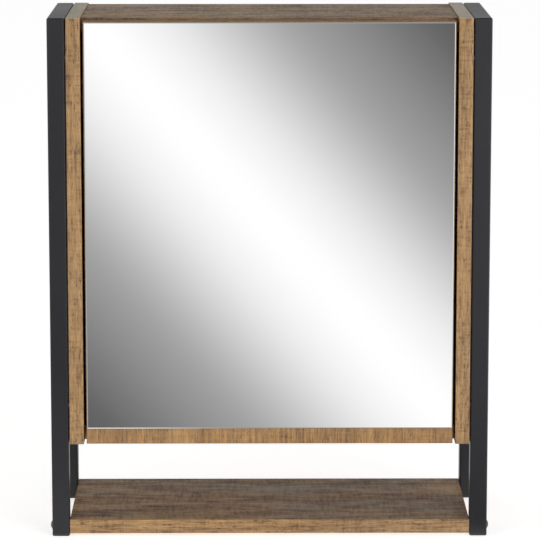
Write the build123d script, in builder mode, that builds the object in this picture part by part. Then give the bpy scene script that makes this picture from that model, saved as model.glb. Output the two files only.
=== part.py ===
"""Bathroom mirror cabinet with one mirrored door in a metal frame, and an open shelf under the cabinet.

Millimetres. X runs to the right, Y from the front to the wall, Z up. The origin is on the plane that the
four feet stand on, in the middle of the width and of the depth.
"""
import os
from math import sqrt

from build123d import *

os.makedirs("parts", exist_ok=True)

# Metal frames: an upside-down U of square tube at each side
overall_width = 500.0
overall_height = 597.0
overall_depth = 200.0
tube_size = 20.0
tube_wall = 1.5
tube_corner = 2.0

# End plugs in the open feet of the tubes
plug_cap = 3.0
plug_stem = 4.0
plug_fit = 0.15
plug_wall = 1.6
plug_edge = 1.2

# Boards of the cabinet body
board = 16.0
panel_stand_off = 1.3
cabinet_bottom = 108.5
top_setback = 1.5
bottom_setback = 1.5
board_edge_radius = 0.6

# Back panel in its grooves
back_thickness = 3.0
back_recess = 18.0
groove_depth = 6.0
groove_fit = 0.2

# Mirror door
door_side_gap = 3.0
door_top_gap = 4.0
door_stand_off = 2.0
mirror_thickness = 3.0
mirror_inset = 1.0
mirror_top_inset = 1.0
mirror_edge_chamfer = 0.5
pull_strip = 18.5
door_corner_radius = 2.0

# Inner shelves on their pins
inner_shelf_gap = 1.0
inner_shelf_front_gap = 24.0
inner_shelf_back_gap = 2.0
inner_shelf_pin_drop = 0.2
pin_radius = 2.5
pin_hole_depth = 9.0
pin_depth = 8.5
pin_reach = 8.0
pin_collar_radius = 3.75
pin_collar = 1.0
pin_row_step = 32.0
pin_row_holes = 3
pin_row_inset = 37.0
pin_fit = 0.05

# Lower shelf and its bolts through the uprights
lower_shelf_bottom = 3.5
lower_shelf_end_gap = 0.3
lower_shelf_setback = 0.5
shelf_bolt_radius = 3.0
shelf_bolt_head_radius = 5.5
shelf_bolt_head_height = 2.4
shelf_bolt_reach = 22.0
shelf_bolt_socket = 2.0
shelf_bolt_socket_depth = 1.5
bolt_fit = 0.2
insert_radius = 4.75
insert_length = 14.0
insert_recess = 0.5

# Screws that hold the cabinet body to the frames, in rivet nuts
frame_screw_end_distance = 45.0
frame_screw_radius = 2.5
frame_screw_head_radius = 4.6
frame_screw_socket = 1.5
frame_screw_socket_depth = 1.3
frame_screw_reach = 9.0
rivet_nut_radius = 3.5
rivet_nut_flange_radius = 5.0
rivet_nut_length = 12.0
rivet_nut_fit = 0.1

# Cam fittings and dowels between the top and bottom panels and the sides
cam_radius = 7.5
cam_depth = 12.0
cam_end_distance = 24.0
cam_slot_width = 1.5
cam_slot_depth = 2.0
cam_fit = 0.1
cam_bolt_radius = 3.0
cam_bolt_head_radius = 3.8
cam_bolt_head_length = 3.0
cam_bolt_thread = 10.0
cam_row = (-48.0, 58.0)
dowel_radius = 4.0
dowel_in_side = 10.0
dowel_in_panel = 20.0
dowel_row = (-16.0, 30.0)
dowel_fit = 0.05
hole_end_gap = 1.0

# Keyhole plates let into the rear edges of the side panels
keyhole_from_top = 95.0
keyhole_plate_width = 14.0
keyhole_plate_height = 62.0
keyhole_plate_thickness = 2.0
keyhole_plate_corner = 3.5
keyhole_entry_radius = 5.0
keyhole_slot_radius = 2.6
keyhole_slot_rise = 11.0
keyhole_screw_spacing = 48.0
keyhole_screw_radius = 1.75
keyhole_screw_head_radius = 3.4
keyhole_screw_length = 18.0
keyhole_pocket_depth = 9.0
keyhole_pocket_margin = 0.6
plate_fit = 0.1

# Screw heads
countersink = 90.0
cross_slot_width = 0.8
cross_slot_depth = 1.0

# Concealed hinges: the cup in the door board
hinge_end_distance = 88.0
cup_edge_distance = 22.5
cup_radius = 17.5
cup_wall = 1.0
cup_depth = 12.5
cup_floor = 1.0
cup_flange = 1.2
cup_flange_radius = 19.5
cup_ear_radius = 6.0
cup_screw_offset = 6.0
cup_screw_spacing = 48.0
cup_screw_radius = 1.75
cup_screw_head_radius = 3.6
cup_screw_head_height = 2.0
cup_screw_length = 13.0
cup_notch_half_height = 7.5
cup_fit = 0.1

# Hinge pivots, to the right of the cup's centre and behind the door's back face
arm_outer_pivot = (4.2, 5.9)
arm_inner_pivot = (10.5, -8.8)
cup_outer_pivot = (-12.6, -3.6)
cup_inner_pivot = (-6.1, -5.8)
outer_link_bend = (-7.5, -9.6)
inner_link_bend = (3.0, -9.4)
pivot_radius = 1.1
pivot_fit = 0.06

# Hinge links, in layers above and below the middle of the hinge
nose_half_thickness = 3.1
layer_gap = 0.3
link_thickness = 1.2
link_half_width = 1.4
link_eye_radius = 2.0
arm_eye_radius = 3.2
nose_tip_radius = 2.3
link_bridge = 1.2
link_bridge_width = 3.6
inner_pin_reach = 12.0
rivet_head_radius = 1.9
rivet_head = 0.7

# Hinge arm and its mounting plate on the side panel
arm_half_width = 8.0
arm_sheet = 1.2
arm_start = 19.0
arm_length = 48.0
arm_rise = 11.5
arm_floor_gap = 0.7
arm_elbow = 31.0
neck_corners = ((7.1, 8.5), (1.6, 3.7), (-3.2, 4.9))
neck_half_width = 3.1
neck_end = 12.0
neck_taper_end = 25.0
plate_screw_line = 38.0
plate_screw_spacing = 32.0
plate_base = 2.5
plate_base_width = 16.0
plate_base_height = 48.0
plate_corner = 5.0
plate_ridge_length = 40.0
plate_ridge_side_gap = 0.3
plate_ridge_round = 1.2
plate_screw_radius = 2.5
plate_screw_head_radius = 4.2
plate_screw_head_height = 2.4
plate_screw_depth = 11.0
arm_screw_from_end = 12.0
arm_screw_radius = 2.5
arm_screw_head_radius = 4.0
arm_screw_head_height = 2.2
arm_screw_depth = 6.0
screw_fit = 0.05

# Bumper pads on the back of the door
bumper_radius = 4.0
bumper_gap = 0.2
bumper_inset = 18.0
bumper_edge = 0.6

# Places worked out from the sizes above
frame_front = -overall_depth / 2
frame_rear = overall_depth / 2
post_y = overall_depth / 2 - tube_size / 2
post_inner_x = overall_width / 2 - tube_size
tube_mid_x = overall_width / 2 - tube_size / 2
panel_outer_x = post_inner_x - panel_stand_off
inner_half = panel_outer_x - board
panel_mid_x = inner_half + board / 2
door_back = frame_front + mirror_thickness + board
panel_front = door_back + door_stand_off
back_panel_front = frame_rear - back_recess - back_thickness
top_panel_top = overall_height - top_setback
top_panel_bottom = top_panel_top - board
bottom_panel_bottom = cabinet_bottom + bottom_setback
bottom_panel_top = bottom_panel_bottom + board
door_top = overall_height - door_top_gap
door_half = inner_half - door_side_gap
mirror_bottom = cabinet_bottom + pull_strip
mirror_top = door_top - mirror_top_inset
lower_shelf_mid = lower_shelf_bottom + board / 2
lower_shelf_half = post_inner_x - lower_shelf_end_gap
hinge_heights = (cabinet_bottom + hinge_end_distance, door_top - hinge_end_distance)
cup_x = -door_half + cup_edge_distance
frame_screw_heights = (
    cabinet_bottom + frame_screw_end_distance,
    overall_height - frame_screw_end_distance,
)
inner_height = top_panel_bottom - bottom_panel_top
compartment = (inner_height - 2 * board) / 3
shelf_levels = (bottom_panel_top + compartment, bottom_panel_top + 2 * compartment + board)
shelf_front = panel_front + inner_shelf_front_gap
shelf_rear = back_panel_front - inner_shelf_back_gap
pin_rows = (shelf_front + pin_row_inset, shelf_rear - pin_row_inset)


def write(piece, label):
    """Names a finished piece and writes its file."""
    piece.part.label = label
    export_step(piece.part, f"parts/{label}.step")


def bore(plane, points, radius, depth):
    """Sinks round holes into the piece being made; depth is along the plane's normal."""
    with BuildSketch(plane, mode=Mode.PRIVATE) as mouths:
        with Locations(*points):
            Circle(radius)
    extrude(mouths.sketch, amount=depth, mode=Mode.SUBTRACT)


def cross_slot(plane, span, width, depth):
    """Cuts a cross for the screwdriver into the piece being made; depth is along the plane's normal."""
    with BuildSketch(plane, mode=Mode.PRIVATE) as cross:
        Rectangle(span, width)
        Rectangle(width, span)
    extrude(cross.sketch, amount=depth, mode=Mode.SUBTRACT)


def at_hinge(point):
    """A point of the hinge mechanism in the part's own X and Y."""
    return (cup_x + point[0], door_back + point[1])


def facing_rear(y):
    """Upright plane at depth y; what is extruded from it goes towards the front."""
    return Plane.XZ.offset(-y)


# Side frames, welded from square tube with mitred top corners
for frame_name, side in (("left_frame", -1), ("right_frame", 1)):
    with BuildPart() as frame:
        with BuildSketch(Plane.YZ.offset(side * tube_mid_x)):
            with Locations((0, (plug_cap + overall_height) / 2)):
                Rectangle(overall_depth, overall_height - plug_cap)
            with Locations((0, (plug_cap + overall_height - tube_size) / 2)):
                Rectangle(
                    overall_depth - 2 * tube_size,
                    overall_height - tube_size - plug_cap,
                    mode=Mode.SUBTRACT,
                )
        extrude(amount=tube_size / 2, both=True)
        long_edges = frame.edges().filter_by(Axis.X, reverse=True)
        ring_edges = long_edges.filter_by_position(Axis.Z, plug_cap + tube_size, overall_height)
        top_corners = frame.edges().filter_by(Axis.X).group_by(Axis.Z)[-1]
        fillet(ring_edges + top_corners, tube_corner)
        with BuildSketch(Plane.YZ.offset(side * tube_mid_x)):
            with Locations((0, (overall_height - tube_wall) / 2)):
                Rectangle(overall_depth - 2 * tube_wall, overall_height - tube_wall)
            with Locations((0, (overall_height - tube_size + tube_wall) / 2)):
                Rectangle(
                    overall_depth - 2 * tube_size + 2 * tube_wall,
                    overall_height - tube_size + tube_wall,
                    mode=Mode.SUBTRACT,
                )
        extrude(amount=tube_size / 2 - tube_wall, both=True, mode=Mode.SUBTRACT)
        nut_places = [(y, z) for y in (-post_y, post_y) for z in frame_screw_heights]
        inner_face = Plane.YZ.offset(side * post_inner_x)
        bore(inner_face, nut_places, rivet_nut_radius + rivet_nut_fit, side * 2 * tube_wall)
        shelf_places = [(-post_y, lower_shelf_mid), (post_y, lower_shelf_mid)]
        bore(inner_face, shelf_places, shelf_bolt_radius + bolt_fit, side * tube_size)
    write(frame, frame_name)

# Plastic plugs that close the feet of the four uprights
with BuildPart() as plug:
    with BuildSketch():
        RectangleRounded(tube_size, tube_size, tube_corner)
    extrude(amount=plug_cap)
    chamfer(plug.faces().sort_by(Axis.Z)[0].edges(), plug_edge)
    stem_width = tube_size - 2 * tube_wall - 2 * plug_fit
    with BuildSketch(Plane.XY.offset(plug_cap)):
        Rectangle(stem_width, stem_width)
        Rectangle(stem_width - 2 * plug_wall, stem_width - 2 * plug_wall, mode=Mode.SUBTRACT)
    extrude(amount=plug_stem - 2 * plug_fit)
with BuildPart() as frame_end_plugs:
    with GridLocations(2 * tube_mid_x, 2 * post_y, 2, 2):
        add(plug.part)
write(frame_end_plugs, "frame_end_plugs")

# Side panels with their grooves, fitting holes and rows of shelf pin holes
joint_levels = (bottom_panel_bottom + board / 2, top_panel_bottom + board / 2)
pin_levels = [
    level - pin_radius - inner_shelf_pin_drop + step * pin_row_step
    for level in shelf_levels
    for step in range(-(pin_row_holes // 2), pin_row_holes // 2 + 1)
]
plate_screw_y = door_back + plate_screw_line
keyhole_z = overall_height - keyhole_from_top
keyhole_mid_z = keyhole_z + keyhole_slot_rise / 2
keyhole_screw_levels = [keyhole_mid_z + way * keyhole_screw_spacing / 2 for way in (-1, 1)]
for panel_name, side in (("left_side_panel", -1), ("right_side_panel", 1)):
    with BuildPart() as side_panel:
        with BuildSketch(Plane.YZ.offset(side * inner_half)):
            with Locations((0, (cabinet_bottom + overall_height) / 2)):
                Rectangle(overall_depth, overall_height - cabinet_bottom)
        extrude(amount=side * board)
        fillet(side_panel.edges().filter_by(Axis.X), board_edge_radius)
        inner_face = Plane.YZ.offset(side * inner_half)
        with BuildSketch(inner_face):
            with Locations((back_panel_front + back_thickness / 2, overall_height / 2)):
                Rectangle(back_thickness + 2 * groove_fit, 2 * overall_height)
        extrude(amount=side * (groove_depth + groove_fit), mode=Mode.SUBTRACT)
        cam_places = [(y, z) for y in cam_row for z in joint_levels]
        bore(inner_face, cam_places, cam_bolt_radius + cam_fit, side * (cam_bolt_thread + hole_end_gap))
        dowel_places = [(y, z) for y in dowel_row for z in joint_levels]
        bore(inner_face, dowel_places, dowel_radius + dowel_fit, side * (dowel_in_side + hole_end_gap))
        pin_places = [(y, z) for y in pin_rows for z in pin_levels]
        bore(inner_face, pin_places, pin_radius + pin_fit, side * pin_hole_depth)
        bore(inner_face, nut_places, frame_screw_radius + bolt_fit, side * board)
        for y, z in nut_places:
            with Locations(Plane(origin=(side * inner_half, y, z), z_dir=(-side, 0, 0))):
                CounterSinkHole(
                    frame_screw_radius + bolt_fit,
                    frame_screw_head_radius + plate_fit,
                    depth=board,
                    counter_sink_angle=countersink,
                )
        if side < 0:
            plate_places = [
                (plate_screw_y, height + way * plate_screw_spacing / 2)
                for height in hinge_heights
                for way in (-1, 1)
            ]
            plate_hole_depth = plate_screw_depth + hole_end_gap
            bore(inner_face, plate_places, plate_screw_radius + screw_fit, side * plate_hole_depth)
        with BuildSketch(facing_rear(frame_rear)):
            with Locations((side * panel_mid_x, keyhole_mid_z)):
                RectangleRounded(
                    keyhole_plate_width + 2 * plate_fit,
                    keyhole_plate_height + 2 * plate_fit,
                    keyhole_plate_corner,
                )
        extrude(amount=keyhole_plate_thickness, mode=Mode.SUBTRACT)
        with BuildSketch(facing_rear(frame_rear)):
            with Locations((side * panel_mid_x, keyhole_mid_z)):
                pocket_width = 2 * (keyhole_entry_radius + keyhole_pocket_margin)
                SlotOverall(pocket_width + keyhole_slot_rise, pocket_width, rotation=90)
        extrude(amount=keyhole_plate_thickness + keyhole_pocket_depth, mode=Mode.SUBTRACT)
        screw_places = [(side * panel_mid_x, z) for z in keyhole_screw_levels]
        screw_hole_depth = keyhole_screw_length + hole_end_gap
        bore(facing_rear(frame_rear), screw_places, keyhole_screw_radius + screw_fit, screw_hole_depth)
    write(side_panel, panel_name)

# Top and bottom panels between the sides, with the cam housings sunk from below
panel_depth = frame_rear - panel_front
for panel_name, level, groove_side in (
    ("top_panel", top_panel_bottom, 0),
    ("bottom_panel", bottom_panel_bottom, 1),
):
    with BuildPart() as flat_panel:
        with BuildSketch(Plane.XY.offset(level)):
            with Locations((0, (panel_front + frame_rear) / 2)):
                Rectangle(2 * inner_half, panel_depth)
        extrude(amount=board)
        fillet(flat_panel.edges().filter_by(Axis.X), board_edge_radius)
        groove_top = level + board - groove_depth - groove_fit if groove_side else level
        with BuildSketch(Plane.XY.offset(groove_top)):
            with Locations((0, back_panel_front + back_thickness / 2)):
                Rectangle(2 * inner_half, back_thickness + 2 * groove_fit)
        extrude(amount=groove_depth + groove_fit, mode=Mode.SUBTRACT)
        cam_places = [(way * (inner_half - cam_end_distance), y) for way in (-1, 1) for y in cam_row]
        bore(Plane.XY.offset(level), cam_places, cam_radius + cam_fit, cam_depth + cam_fit)
        for way in (-1, 1):
            end_face = Plane.YZ.offset(way * inner_half)
            bolt_mouths = [(y, level + board / 2) for y in cam_row]
            bore(end_face, bolt_mouths, cam_bolt_head_radius + cam_fit, -way * cam_end_distance)
            dowel_mouths = [(y, level + board / 2) for y in dowel_row]
            bore(end_face, dowel_mouths, dowel_radius + dowel_fit, -way * (dowel_in_panel + hole_end_gap))
    write(flat_panel, panel_name)

# Hardboard back, held in the grooves on all four sides
with BuildPart() as back_panel:
    with BuildSketch(facing_rear(back_panel_front + back_thickness)):
        with Locations((0, (bottom_panel_top + top_panel_bottom) / 2)):
            Rectangle(2 * (inner_half + groove_depth), inner_height + 2 * groove_depth)
    extrude(amount=back_thickness)
write(back_panel, "back_panel")

# Open shelf between the feet of the frames
with BuildPart() as lower_shelf:
    with BuildSketch(Plane.XY.offset(lower_shelf_bottom)):
        Rectangle(2 * lower_shelf_half, overall_depth - 2 * lower_shelf_setback)
    extrude(amount=board)
    fillet(lower_shelf.edges().filter_by(Axis.X), board_edge_radius)
    for way in (-1, 1):
        end_face = Plane.YZ.offset(way * lower_shelf_half)
        insert_hole_depth = insert_length + insert_recess
        bore(end_face, shelf_places, insert_radius + screw_fit, -way * insert_hole_depth)
        bolt_hole_depth = shelf_bolt_reach + hole_end_gap
        bore(end_face, shelf_places, shelf_bolt_radius + bolt_fit, -way * bolt_hole_depth)
write(lower_shelf, "lower_shelf")

# Two loose shelves inside the cabinet
for shelf_name, level in zip(("lower_inner_shelf", "upper_inner_shelf"), shelf_levels):
    with BuildPart() as inner_shelf:
        with BuildSketch(Plane.XY.offset(level)):
            with Locations((0, (shelf_front + shelf_rear) / 2)):
                Rectangle(2 * (inner_half - inner_shelf_gap), shelf_rear - shelf_front)
        extrude(amount=board)
        fillet(inner_shelf.edges().filter_by(Axis.X), board_edge_radius)
    write(inner_shelf, shelf_name)

# Shelf pins: a shank in the side panel, a collar, and a nose with a flat top under the shelf
with BuildPart() as shelf_pin:
    with BuildSketch(Plane.YZ):
        Circle(pin_radius)
    extrude(amount=-pin_depth)
    with BuildSketch(Plane.YZ):
        Circle(pin_collar_radius)
        with Locations((0, pin_radius + inner_shelf_pin_drop)):
            Rectangle(
                2 * pin_collar_radius,
                pin_collar_radius,
                align=(Align.CENTER, Align.MIN),
                mode=Mode.SUBTRACT,
            )
    extrude(amount=pin_collar)
    with BuildSketch(Plane.YZ.offset(pin_collar)):
        Rectangle(2 * pin_radius, 2 * (pin_radius + inner_shelf_pin_drop))
    extrude(amount=pin_reach - pin_collar)
    nose_end = shelf_pin.faces().sort_by(Axis.X)[-1]
    fillet(nose_end.edges().sort_by(Axis.Z)[0], pin_radius)
with BuildPart() as shelf_pins:
    pin_heights = [level - pin_radius - inner_shelf_pin_drop for level in shelf_levels]
    for y in pin_rows:
        for z in pin_heights:
            with Locations((-inner_half, y, z)):
                add(shelf_pin.part)
            with Locations((inner_half, y, z)):
                add(shelf_pin.part, rotation=(0, 0, 180))
write(shelf_pins, "shelf_pins")

# Rivet nuts in the tubes; their flanges hold the cabinet body off the frames
with BuildPart() as rivet_nut:
    with BuildSketch(Plane.YZ):
        Circle(rivet_nut_flange_radius)
        Circle(frame_screw_radius + bolt_fit, mode=Mode.SUBTRACT)
    extrude(amount=-panel_stand_off)
    with BuildSketch(Plane.YZ):
        Circle(rivet_nut_radius)
        Circle(frame_screw_radius + screw_fit, mode=Mode.SUBTRACT)
    extrude(amount=rivet_nut_length)
with BuildPart() as rivet_nuts:
    for y, z in nut_places:
        with Locations((post_inner_x, y, z)):
            add(rivet_nut.part)
        with Locations((-post_inner_x, y, z)):
            add(rivet_nut.part, rotation=(0, 0, 180))
write(rivet_nuts, "rivet_nuts")

# Countersunk screws from inside the cabinet into the rivet nuts
with BuildPart() as frame_screw:
    with BuildSketch(Plane.XZ):
        with BuildLine():
            Polyline(
                (0, 0),
                (0, frame_screw_head_radius),
                (frame_screw_head_radius - frame_screw_radius, frame_screw_radius),
                (board + panel_stand_off + frame_screw_reach, frame_screw_radius),
                (board + panel_stand_off + frame_screw_reach, 0),
                close=True,
            )
        make_face()
    revolve(axis=Axis.X)
    with BuildSketch(Plane.YZ):
        RegularPolygon(frame_screw_socket, 6)
    extrude(amount=frame_screw_socket_depth, mode=Mode.SUBTRACT)
with BuildPart() as frame_screws:
    for y, z in nut_places:
        with Locations((inner_half, y, z)):
            add(frame_screw.part)
        with Locations((-inner_half, y, z)):
            add(frame_screw.part, rotation=(0, 0, 180))
write(frame_screws, "frame_screws")

# Dome-headed bolts through the uprights into the ends of the lower shelf
with BuildPart() as shelf_bolt:
    dome_radius = (shelf_bolt_head_radius**2 + shelf_bolt_head_height**2) / (2 * shelf_bolt_head_height)
    dome_half_height = sqrt(dome_radius**2 - (shelf_bolt_head_radius / 2) ** 2)
    dome_mid = dome_half_height - dome_radius + shelf_bolt_head_height
    with BuildSketch(Plane.XZ):
        with BuildLine():
            dome = ThreePointArc(
                (0, shelf_bolt_head_radius),
                (dome_mid, shelf_bolt_head_radius / 2),
                (shelf_bolt_head_height, 0),
            )
            Polyline(dome @ 1, (0, 0), dome @ 0)
        make_face()
    revolve(axis=Axis.X)
    with BuildSketch(Plane.YZ):
        Circle(shelf_bolt_radius)
    extrude(amount=-(tube_size + lower_shelf_end_gap + shelf_bolt_reach))
    with BuildSketch(Plane.YZ.offset(shelf_bolt_head_height)):
        RegularPolygon(shelf_bolt_socket, 6, major_radius=False)
    extrude(amount=-shelf_bolt_socket_depth, mode=Mode.SUBTRACT)
with BuildPart() as shelf_bolts:
    for y, z in shelf_places:
        with Locations((overall_width / 2, y, z)):
            add(shelf_bolt.part)
        with Locations((-overall_width / 2, y, z)):
            add(shelf_bolt.part, rotation=(0, 0, 180))
write(shelf_bolts, "shelf_bolts")

# Threaded inserts let into the ends of the lower shelf
with BuildPart() as insert_nut:
    with BuildSketch(Plane.YZ.offset(-insert_recess)):
        Circle(insert_radius)
        Circle(shelf_bolt_radius + screw_fit, mode=Mode.SUBTRACT)
    extrude(amount=-insert_length)
with BuildPart() as shelf_inserts:
    for y, z in shelf_places:
        with Locations((lower_shelf_half, y, z)):
            add(insert_nut.part)
        with Locations((-lower_shelf_half, y, z)):
            add(insert_nut.part, rotation=(0, 0, 180))
write(shelf_inserts, "shelf_inserts")

# Cam housings, with a cross slot below and a hollow that takes the bolt's head
with BuildPart() as cam:
    with BuildSketch():
        Circle(cam_radius)
    extrude(amount=cam_depth)
    cross_slot(Plane.XY, cam_radius, cam_slot_width, cam_slot_depth)
    with BuildSketch(Plane.YZ.offset(-cam_bolt_head_length / 2)):
        with Locations((0, board / 2)):
            Circle(cam_bolt_head_radius + cam_fit)
    extrude(amount=cam_radius + cam_bolt_head_length, mode=Mode.SUBTRACT)
with BuildPart() as cam_housings:
    for level in (bottom_panel_bottom, top_panel_bottom):
        for y in cam_row:
            with Locations((inner_half - cam_end_distance, y, level)):
                add(cam.part)
            with Locations((-inner_half + cam_end_distance, y, level)):
                add(cam.part, rotation=(0, 0, 180))
write(cam_housings, "cam_housings")

# Cam bolts, screwed into the sides
with BuildPart() as cam_bolt:
    with BuildSketch(Plane.YZ.offset(-cam_end_distance)):
        Circle(cam_bolt_head_radius)
    extrude(amount=cam_bolt_head_length)
    with BuildSketch(Plane.YZ.offset(-cam_end_distance)):
        Circle(cam_bolt_radius)
    extrude(amount=cam_end_distance + cam_bolt_thread)
with BuildPart() as cam_bolts:
    for z in joint_levels:
        for y in cam_row:
            with Locations((inner_half, y, z)):
                add(cam_bolt.part)
            with Locations((-inner_half, y, z)):
                add(cam_bolt.part, rotation=(0, 0, 180))
write(cam_bolts, "cam_bolts")

# Wooden dowels beside the cam bolts
with BuildPart() as wood_dowels:
    for z in joint_levels:
        for y in dowel_row:
            for way in (-1, 1):
                dowel_start = (way * (inner_half + dowel_in_side), y, z)
                with Locations(Plane(origin=dowel_start, z_dir=(-way, 0, 0))):
                    Cylinder(
                        dowel_radius,
                        dowel_in_side + dowel_in_panel,
                        align=(Align.CENTER, Align.CENTER, Align.MIN),
                    )
write(wood_dowels, "wood_dowels")

# Keyhole plates for two screws in the wall
with BuildPart() as keyhole_plates:
    for way in (-1, 1):
        with BuildSketch(facing_rear(frame_rear)):
            with Locations((way * panel_mid_x, keyhole_mid_z)):
                RectangleRounded(keyhole_plate_width, keyhole_plate_height, keyhole_plate_corner)
            with Locations((way * panel_mid_x, keyhole_z)):
                Circle(keyhole_entry_radius, mode=Mode.SUBTRACT)
            with Locations((way * panel_mid_x, keyhole_mid_z)):
                SlotCenterToCenter(
                    keyhole_slot_rise, 2 * keyhole_slot_radius, rotation=90, mode=Mode.SUBTRACT
                )
            for z in keyhole_screw_levels:
                with Locations((way * panel_mid_x, z)):
                    Circle(keyhole_screw_radius + screw_fit, mode=Mode.SUBTRACT)
        extrude(amount=keyhole_plate_thickness)
    for way in (-1, 1):
        for z in keyhole_screw_levels:
            with Locations(Plane(origin=(way * panel_mid_x, frame_rear, z), z_dir=(0, 1, 0))):
                CounterSinkHole(
                    keyhole_screw_radius + screw_fit,
                    keyhole_screw_head_radius + screw_fit,
                    depth=keyhole_plate_thickness,
                    counter_sink_angle=countersink,
                )
write(keyhole_plates, "keyhole_plates")

# Countersunk wood screws that hold the keyhole plates
with BuildPart() as keyhole_screw:
    with BuildSketch(Plane.XZ):
        with BuildLine():
            Polyline(
                (0, 0),
                (keyhole_screw_head_radius, 0),
                (keyhole_screw_radius, -(keyhole_screw_head_radius - keyhole_screw_radius)),
                (keyhole_screw_radius, -keyhole_screw_length + keyhole_screw_radius),
                (0, -keyhole_screw_length),
                close=True,
            )
        make_face()
    revolve(axis=Axis.Z)
    cross_slot(Plane.XY, keyhole_screw_head_radius, cross_slot_width, -cross_slot_depth)
with BuildPart() as keyhole_screws:
    for way in (-1, 1):
        for z in keyhole_screw_levels:
            with Locations(Plane(origin=(way * panel_mid_x, frame_rear, z), z_dir=(0, 1, 0))):
                add(keyhole_screw.part)
write(keyhole_screws, "keyhole_screws")

# Door board, with a pocket for each hinge cup
cup_screw_places = [
    (cup_x + cup_screw_offset, height + way * cup_screw_spacing / 2)
    for height in hinge_heights
    for way in (-1, 1)
]
with BuildPart() as door_board:
    with BuildSketch(facing_rear(door_back)):
        with Locations((0, (cabinet_bottom + door_top) / 2)):
            Rectangle(2 * door_half, door_top - cabinet_bottom)
    extrude(amount=board)
    fillet(door_board.edges().filter_by(Axis.Y).group_by(Axis.Z)[0], door_corner_radius)
    front_edges = door_board.faces().sort_by(Axis.Y)[0].edges()
    rear_edges = door_board.faces().sort_by(Axis.Y)[-1].edges()
    chamfer(front_edges + rear_edges, board_edge_radius)
    cup_places = [(cup_x, height) for height in hinge_heights]
    bore(facing_rear(door_back), cup_places, cup_radius + cup_fit, cup_depth + cup_fit)
    bore(facing_rear(door_back), cup_screw_places, cup_screw_radius + screw_fit, cup_screw_length)
write(door_board, "door_board")

# Mirror, glued to the front of the board down to the pull strip
with BuildPart() as mirror_glass:
    with BuildSketch(facing_rear(frame_front + mirror_thickness)):
        with Locations((0, (mirror_bottom + mirror_top) / 2)):
            Rectangle(2 * (door_half - mirror_inset), mirror_top - mirror_bottom)
    extrude(amount=mirror_thickness)
    chamfer(mirror_glass.faces().sort_by(Axis.Y)[0].edges(), mirror_edge_chamfer)
write(mirror_glass, "mirror_glass")

# Pads on the back of the door that meet the top and bottom panels
bumper_x = door_half - bumper_inset
bumper_levels = ((cabinet_bottom + bottom_setback + board / 2), (top_panel_bottom + board / 2))
with BuildPart() as door_bumpers:
    for z in bumper_levels:
        with BuildSketch(facing_rear(door_back + door_stand_off - bumper_gap)):
            with Locations((bumper_x, z)):
                Circle(bumper_radius)
        extrude(amount=door_stand_off - bumper_gap)
    pad_rims = door_bumpers.faces().filter_by(Axis.Y).group_by(Axis.Y)[-1].edges()
    fillet(pad_rims, bumper_edge)
write(door_bumpers, "door_bumpers")

# Hinge cup: a drawn cup with a flange, two ears and a notch for the links
with BuildPart() as cup:
    with BuildSketch(facing_rear(door_back)):
        with Locations((cup_x, 0)):
            Circle(cup_radius)
    extrude(amount=cup_depth)
    fillet(cup.faces().sort_by(Axis.Y)[0].edges(), cup_wall)
    with BuildSketch(facing_rear(door_back)):
        with Locations((cup_x, 0)):
            Circle(cup_flange_radius)
        with Locations(
            (cup_x + cup_screw_offset, cup_screw_spacing / 2),
            (cup_x + cup_screw_offset, -cup_screw_spacing / 2),
        ):
            Circle(cup_ear_radius)
        make_hull()
    extrude(amount=-cup_flange)
    with BuildSketch(facing_rear(door_back + cup_flange)):
        with Locations((cup_x, 0)):
            Circle(cup_radius - cup_wall)
    extrude(amount=cup_flange + cup_depth - cup_floor, mode=Mode.SUBTRACT)
    with BuildSketch(facing_rear(door_back + cup_flange)):
        with Locations((cup_x, 0)):
            Rectangle(
                2 * cup_flange_radius,
                2 * cup_notch_half_height,
                align=(Align.MAX, Align.CENTER),
            )
    extrude(amount=cup_flange, mode=Mode.SUBTRACT)
    with BuildSketch(facing_rear(door_back + cup_flange)):
        with Locations(
            (cup_x + cup_screw_offset, cup_screw_spacing / 2),
            (cup_x + cup_screw_offset, -cup_screw_spacing / 2),
        ):
            Circle(cup_screw_radius + screw_fit)
    extrude(amount=cup_flange, mode=Mode.SUBTRACT)
    with BuildSketch(Plane.XY):
        with Locations(at_hinge(cup_outer_pivot)):
            Circle(pivot_radius + pivot_fit)
    extrude(amount=cup_radius, both=True, mode=Mode.SUBTRACT)
with BuildPart() as hinge_cups:
    with Locations(*[(0, 0, height) for height in hinge_heights]):
        add(cup.part)
write(hinge_cups, "hinge_cups")

# Pan-head screws through the ears of the cups
with BuildPart() as cup_screw:
    with BuildSketch():
        Circle(cup_screw_head_radius)
    extrude(amount=cup_screw_head_height)
    fillet(cup_screw.faces().sort_by(Axis.Z)[-1].edges(), cup_screw_head_height / 2)
    with BuildSketch():
        Circle(cup_screw_radius)
    extrude(amount=-(cup_screw_length - cup_flange))
    head_top = Plane.XY.offset(cup_screw_head_height)
    cross_slot(head_top, cup_screw_head_radius, cross_slot_width, -cross_slot_depth)
with BuildPart() as cup_screws:
    for x, z in cup_screw_places:
        with Locations(Plane(origin=(x, door_back + cup_flange, z), z_dir=(0, 1, 0))):
            add(cup_screw.part)
write(cup_screws, "cup_screws")

# Pins of the outer links in the cups, from wall to wall
cup_pin_reach = sqrt(cup_radius**2 - (abs(cup_outer_pivot[0]) + pivot_radius) ** 2) - pivot_fit
with BuildPart() as cup_pins:
    for height in hinge_heights:
        with BuildSketch(Plane.XY.offset(height)):
            with Locations(at_hinge(cup_outer_pivot)):
                Circle(pivot_radius)
        extrude(amount=cup_pin_reach, both=True)
write(cup_pins, "cup_pins")

# Layers of the hinge, measured up and down from its middle
outer_link_start = nose_half_thickness + layer_gap
outer_link_end = outer_link_start + link_thickness
inner_link_start = outer_link_end + layer_gap
inner_link_end = inner_link_start + link_thickness


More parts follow.
